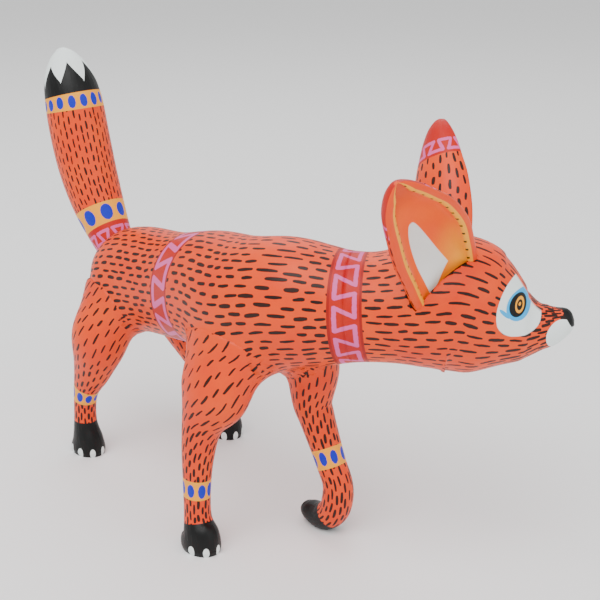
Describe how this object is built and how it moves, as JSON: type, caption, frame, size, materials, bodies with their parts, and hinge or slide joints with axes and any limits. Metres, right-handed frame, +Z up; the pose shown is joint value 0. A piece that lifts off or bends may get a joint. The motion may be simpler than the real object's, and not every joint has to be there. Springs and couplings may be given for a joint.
{
  "type": "carved fox figure",
  "caption": "Hand-carved, painted wooden fox standing with its head turned and a front paw folded back, with upright ears and a raised tail that lift off on pegs",
  "frame": {"origin": "on the standing plane, under the middle of the figure's box", "axes": "+X from rump to chest, +Y to the animal's left, +Z up"},
  "size_m": [0.319, 0.1318, 0.2261],
  "materials": {
    "painted_wood": "semi-matte acrylic paint over carved soft wood",
    "bare_wood": "bare sanded wood"
  },
  "bodies": {
    "figure": {"torso": "painted_wood", "head": "painted_wood", "neck_dowel": "bare_wood", "right_front_leg": "painted_wood", "left_front_leg": "painted_wood", "right_hind_leg": "painted_wood", "left_hind_leg": "painted_wood", "right_front_dowel": "bare_wood", "left_front_dowel": "bare_wood", "right_hind_dowel": "bare_wood", "left_hind_dowel": "bare_wood"},
    "right_ear_piece": {"right_ear": "painted_wood", "right_ear_peg": "bare_wood"},
    "left_ear_piece": {"left_ear": "painted_wood", "left_ear_peg": "bare_wood"},
    "tail_piece": {"tail": "painted_wood", "tail_peg": "bare_wood"}
  },
  "joints": [
    {"name": "right_ear_pull", "type": "slide", "parent": "figure", "child": "right_ear_piece", "axis": [0.1811, -0.5271, 0.8303], "range_m": [0, 0.03]},
    {"name": "left_ear_pull", "type": "slide", "parent": "figure", "child": "left_ear_piece", "axis": [-0.2433, 0.2459, 0.9383], "range_m": [0, 0.03]},
    {"name": "tail_pull", "type": "slide", "parent": "figure", "child": "tail_piece", "axis": [-0.6097, 0, 0.7926], "range_m": [0, 0.04]}
  ]
}
